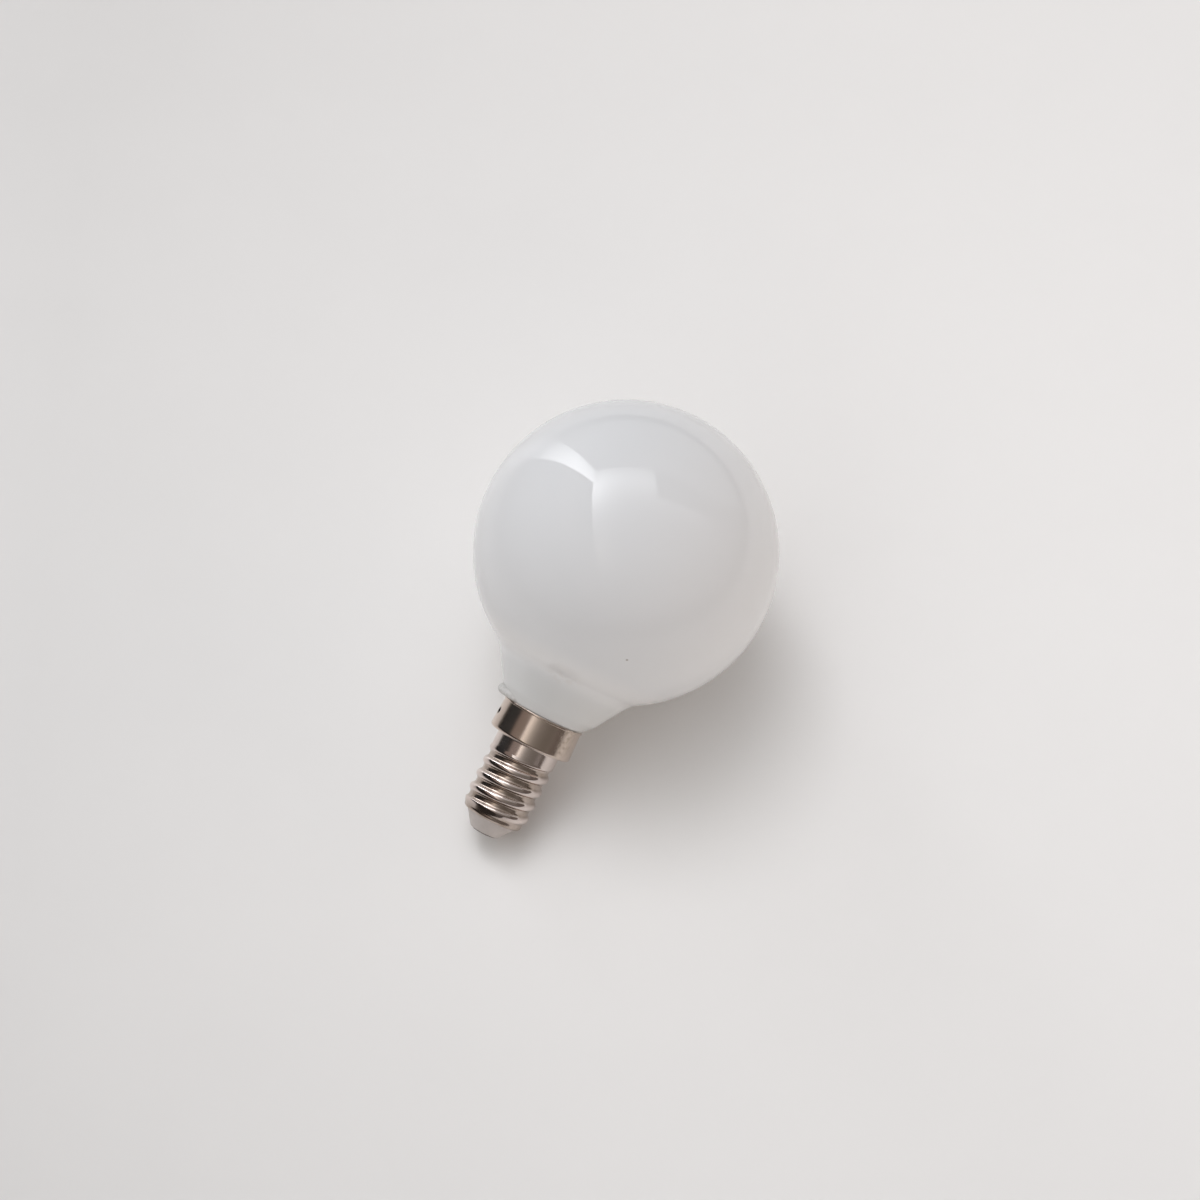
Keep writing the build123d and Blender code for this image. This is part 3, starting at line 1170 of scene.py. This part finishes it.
@dataclass(frozen=True)
class PaleBoard:
    """Pale board under the bulb, with painted light that makes it a little brighter to the right.

    Past the board's edges the table is dark, except to the camera. Sizes are in millimetres.
    """

    colour: Colour = (0.826, 0.81, 0.793)
    table_colour: Colour = (0.06, 0.05, 0.04)
    left: float = 130.0
    right: float = 245.0
    near: float = 900.0
    far: float = 300.0
    edge_blur: float = 4.0
    left_blur: float = 55.0
    half_width: float = 3000.0
    painted_light_reach: tuple[float, float] = (105.0, 116.0)
    painted_light_across: tuple[float, float] = (0.105, -0.0382)
    painted_light_away: tuple[float, float] = (0.018, -0.0394)
    cloud_size: float = 18.0
    cloud_tone: float = 0.012
    grain_size: float = 0.5
    grain_depth: float = 0.006
    roughness: float = 0.3
    specular: float = 0.35

    def tone(self, nodes: Nodes, distance: Socket, reach: float, bend: tuple[float, float]) -> Socket:
        """Painted light along one direction, a change of tone: slope times distance plus curve times its
        square.

        Args:
            nodes: Tree to add to.
            distance: Distance from the globe's centre, in millimetres.
            reach: Distance at which the change stops.
            bend: Slope and curve.

        Returns:
            The change of tone.
        """
        inputs = {"Value": distance, "From Min": -reach, "From Max": reach, "To Min": -1.0, "To Max": 1.0}
        share = nodes.add("MapRange", inputs).outputs[0]
        slope, curve = bend
        return nodes.math("MULTIPLY", share, nodes.math("MULTIPLY_ADD", share, curve, slope))

    def build(self, axis: BulbAxis, camera: PhotoCamera) -> bpy.types.Object:
        """Makes the floor.

        Args:
            axis: Where the bulb lies.
            camera: Camera whose right and away directions the board's edges follow.

        Returns:
            The floor.
        """
        corners = MM * self.half_width * np.array([(-1, -1, 0), (1, -1, 0), (1, 1, 0), (-1, 1, 0)])
        mesh = bpy.data.meshes.new("board")
        mesh.from_pydata(corners.tolist(), [], [(0, 1, 2, 3)])
        board = bpy.data.objects.new("board", mesh)
        bpy.context.scene.collection.objects.link(board)
        material, nodes = new_material("board")
        inputs = {
            "Vector": nodes.object_place(),
            "Location": tuple(axis.centre.tolist()),
            "Scale": (MM, MM, MM),
        }
        place = nodes.add("Mapping", inputs, vector_type="TEXTURE").outputs[0]
        right, away = camera.level_directions()
        across = nodes.dot(place, right)
        beyond = nodes.dot(place, away)
        inside = nodes.math(
            "MULTIPLY",
            nodes.math(
                "SUBTRACT",
                nodes.step(across, -self.left, self.left_blur),
                nodes.step(across, self.right, self.edge_blur),
            ),
            nodes.band(beyond, -self.near, self.far, self.edge_blur),
        )
        seen = nodes.math("MAXIMUM", inside, nodes.add("LightPath").outputs["Is Camera Ray"])
        # Painted light: the board's colour goes from darker at the left to brighter at the right, and
        # darkens towards the near and far sides.
        tone = nodes.math(
            "ADD",
            self.tone(nodes, across, self.painted_light_reach[0], self.painted_light_across),
            self.tone(nodes, beyond, self.painted_light_reach[1], self.painted_light_away),
        )
        cloud = nodes.noise(place, self.cloud_size, Detail.FINEST)
        cloud = nodes.scaled(cloud, -self.cloud_tone, self.cloud_tone)
        tone = nodes.math("ADD", nodes.math("ADD", tone, cloud), 1.0)
        colour = nodes.mix(seen, self.table_colour, nodes.tinted(self.colour, tone))
        grain = nodes.bump(nodes.noise(place, self.grain_size, Detail.FINE), self.grain_depth)
        shader = nodes.add(
            "BsdfPrincipled",
            {
                "Base Color": colour,
                "Roughness": self.roughness,
                "Specular IOR Level": self.specular,
                "Normal": grain,
            },
        )
        nodes.finish(shader)
        mesh.materials.append(material)
        return board


@dataclass(frozen=True)
class Wall:
    """Colours of one wall, below and above the height at which it changes."""

    low: Colour
    high: Colour


@dataclass(frozen=True)
class Glow:
    """Light on the ceiling, which falls off with the distance from its middle."""

    at: tuple[float, float]
    colour: Colour
    reach: tuple[float, float]
    fall: float


@dataclass(frozen=True)
class RoomTones:
    """How bright the parts of a room are."""

    glows: tuple[Glow, ...]
    ceiling_least: Colour
    window_low: float
    window_high: float
    window_rise: float
    beam_shade: float
    wall_split: float
    wall_blur: float
    left: Wall
    left_beyond: Wall
    far: Wall
    near: Wall
    right: Wall


SOFT_ROOM = RoomTones(
    glows=(Glow(at=(-0.494, 0.785), colour=(8.6, 8.7, 8.96), reach=(0.854, 0.854), fall=6.0),),
    ceiling_least=(0.116, 0.117, 0.12),
    window_low=5.0,
    window_high=0.0,
    window_rise=1.0,
    beam_shade=0.0,
    wall_split=0.4,
    wall_blur=0.1,
    left=Wall((0.84, 0.815, 0.8), (1.06, 1.06, 1.06)),
    left_beyond=Wall((0.84, 0.815, 0.8), (1.06, 1.06, 1.06)),
    far=Wall((0.5, 0.495, 0.485), (0.12, 0.12, 0.12)),
    near=Wall((0.75, 0.67, 0.61), (1.25, 1.12, 1.02)),
    right=Wall((4.3, 3.9, 3.62), (0.81, 0.72, 0.655)),
)
MIRRORED_ROOM = RoomTones(
    glows=(
        Glow(at=(-0.1, 0.56), colour=(2.18, 2.2, 2.27), reach=(2.0, 0.4), fall=4.0),
        Glow(at=(-0.46, 0.43), colour=(3.76, 3.8, 3.91), reach=(0.35, 0.45), fall=4.0),
        Glow(at=(-0.43, -0.5), colour=(0.86, 0.79, 0.705), reach=(0.22, 0.35), fall=3.0),
    ),
    ceiling_least=(0.14, 0.125, 0.11),
    window_low=1.6,
    window_high=6.0,
    window_rise=0.45,
    beam_shade=1.0,
    wall_split=0.38,
    wall_blur=0.06,
    left=Wall((0.022, 0.018, 0.016), (0.225, 0.183, 0.163)),
    left_beyond=Wall((0.025, 0.026, 0.027), (0.2, 0.16, 0.145)),
    far=Wall((0.55, 0.54, 0.53), (0.52, 0.51, 0.5)),
    near=Wall((0.08, 0.07, 0.065), (0.2, 0.18, 0.17)),
    right=Wall((0.12, 0.1, 0.09), (0.12, 0.1, 0.09)),
)


@dataclass(frozen=True)
class RoomLight:
    """Daylight of a plain room: a window strip, the ceiling that it lights, and darker walls.

    Places are in units of the ceiling's height above the board, to the camera's right and away from it.
    Matt surfaces take the soft tones, and glossy ones mirror the other set.
    """

    left: float = 0.452
    right: float = 1.9
    near: float = 1.6
    far: float = 0.828
    window_from: float = 0.555
    window_taper: float = 0.03
    window_fade: tuple[float, float] = (1.1, 0.68)
    beyond_from: float = 0.07
    beam_from: tuple[float, float] = (0.4, 0.3)
    beam_blur: float = 0.02
    window_colour: Colour = (0.99, 1.0, 1.03)
    background: Colour = (0.76, 0.75, 0.745)
    blur: float = 0.012

    def ceiling(self, nodes: Nodes, x: Value, y: Value, tones: RoomTones) -> Socket:
        """Colour of the ceiling: its glows, kept off one corner by a beam, and a least tone.

        A glow is its colour divided by (1 + square of the distance over its reach) to half its fall.

        Args:
            nodes: Tree to add to.
            x: Distance to the right.
            y: Distance away.
            tones: How bright the parts of the room are.

        Returns:
            The colour.
        """
        beam = nodes.math(
            "MULTIPLY",
            nodes.step(x, self.beam_from[0], self.beam_blur),
            nodes.step(y, self.beam_from[1], self.beam_blur),
        )
        open_share = nodes.math("MULTIPLY_ADD", beam, -tones.beam_shade, 1.0)
        colour: Value = tones.ceiling_least
        for glow in tones.glows:
            across = nodes.math("DIVIDE", nodes.math("SUBTRACT", x, glow.at[0]), glow.reach[0])
            away = nodes.math("DIVIDE", nodes.math("SUBTRACT", y, glow.at[1]), glow.reach[1])
            square = nodes.math("MULTIPLY_ADD", across, across, 1.0)
            square = nodes.math("MULTIPLY_ADD", away, away, square)
            share = nodes.math("POWER", square, -glow.fall / 2)
            glowing = nodes.tinted(glow.colour, nodes.math("MULTIPLY", share, open_share))
            colour = nodes.add("VectorMath", {0: glowing, 1: colour}, operation="ADD").outputs[0]
        return colour

    def surroundings(self, nodes: Nodes, place: list[Socket], tones: RoomTones) -> Socket:
        """Colour of the room at a place on its walls or ceiling.

        Args:
            nodes: Tree to add to.
            place: Distance to the right, away and up.
            tones: How bright the parts of the room are.

        Returns:
            The colour.
        """
        x, y, z = place
        edge = 1 - self.blur
        at_right = nodes.step(x, self.right * edge, self.right * self.blur)
        at_far = nodes.step(y, self.far * edge, self.far * self.blur)
        at_left = nodes.step(nodes.math("MULTIPLY", x, -1.0), self.left * edge, self.left * self.blur)
        overhead = nodes.step(z, edge, self.blur)
        high = nodes.step(z, tones.wall_split, tones.wall_blur)
        walls = (tones.left, tones.left_beyond, tones.far, tones.near, tones.right)
        left, beyond, far, near, right = [nodes.mix(high, wall.low, wall.high) for wall in walls]
        rise = nodes.ramp(z, 0.0, tones.window_rise)
        fade = nodes.ramp(y, self.window_from, self.far)
        shine = nodes.scaled(rise, tones.window_low, tones.window_high)
        shine = nodes.math("MULTIPLY", shine, nodes.scaled(fade, *self.window_fade))
        pane = nodes.tinted(self.window_colour, shine)
        left = nodes.mix(nodes.step(y, self.beyond_from, self.beam_blur), left, beyond)
        tapered = nodes.math("MULTIPLY_ADD", z, -self.window_taper, y)
        left = nodes.mix(nodes.step(tapered, self.window_from, self.blur), left, pane)
        colour = nodes.mix(at_right, near, right)
        colour = nodes.mix(at_far, colour, far)
        colour = nodes.mix(at_left, colour, left)
        return nodes.mix(overhead, colour, self.ceiling(nodes, x, y, tones))

    def build(self, camera: PhotoCamera) -> bpy.types.World:
        """Makes the world.

        A direction is carried out to the first of the room's five planes: it is divided by the largest of
        its shares of the way to each plane.

        Args:
            camera: Camera whose right and away directions the room's walls follow.

        Returns:
            The world.
        """
        world = bpy.data.worlds.new("room")
        world.use_nodes = True
        nodes = Nodes(world.node_tree)
        direction = nodes.add("TexCoord").outputs["Generated"]
        right, away = camera.level_directions()
        parts = [nodes.dot(direction, way) for way in (right, away, np.array([0.0, 0.0, 1.0]))]
        x, y, z = parts
        first = nodes.most(
            nodes.math("MULTIPLY", x, -1 / self.left),
            nodes.math("MULTIPLY", x, 1 / self.right),
            nodes.math("MULTIPLY", y, -1 / self.near),
            nodes.math("MULTIPLY", y, 1 / self.far),
            z,
        )
        place = [nodes.math("DIVIDE", part, first) for part in parts]
        path = nodes.add("LightPath").outputs
        soft = self.surroundings(nodes, place, SOFT_ROOM)
        mirrored = self.surroundings(nodes, place, MIRRORED_ROOM)
        colour = nodes.mix(path["Is Glossy Ray"], soft, mirrored)
        colour = nodes.mix(path["Is Camera Ray"], colour, self.background)
        shine = nodes.add("Background", {"Color": colour, "Strength": 1.0})
        output = nodes.add("OutputWorld")
        nodes.tree.links.new(shine.outputs[0], output.inputs["Surface"])
        bpy.context.scene.world = world
        return world


def dress(piece: bpy.types.Object, node: Piece, material: bpy.types.Material) -> None:
    """Gives a new piece its finish and lets it stand for its node.

    Args:
        piece: The new object.
        node: Node that it stands for.
        material: Its material.
    """
    piece.data.materials.append(material)
    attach(piece, BODY)
    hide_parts(node.value)
    LOG.info("%s: %d faces", piece.name, len(piece.data.polygons))


def main() -> None:
    """Builds the pieces, the board, the light and the camera."""
    bpy.context.scene.view_settings.view_transform = "Standard"
    axis = BulbAxis.from_frame()
    sizes = BulbSizes(globe_radius=axis.globe_radius / MM)
    shell = ScrewShell()
    nickel = NickelPlate().material(axis, sizes, shell.mark_places(sizes))
    dress(GlassGlobe().build(axis, sizes), Piece.GLOBE, OpalGlass().material(axis))
    dress(shell.build(axis, sizes), Piece.SHELL, nickel)
    plastic = Plain.PLASTIC.value.material(axis)
    dress(BaseInsulator().build(axis, sizes), Piece.INSULATOR, plastic)
    contact = Plain.CONTACT.value.material(axis)
    dress(CentreContact().build(axis, sizes), Piece.CONTACT, contact)
    cement = frame["nodes"][Piece.CEMENT.value]
    cement.data.materials.clear()
    cement.data.materials.append(Plain.CEMENT.value.material(axis))
    LOG.info("%s: %d faces", cement.name, len(cement.data.polygons))
    camera = PhotoCamera()
    camera.build(axis)
    PaleBoard().build(axis, camera)
    RoomLight().build(camera)


if __name__ == "__main__":
    logging.basicConfig(level=logging.INFO, format="%(message)s")
    main()
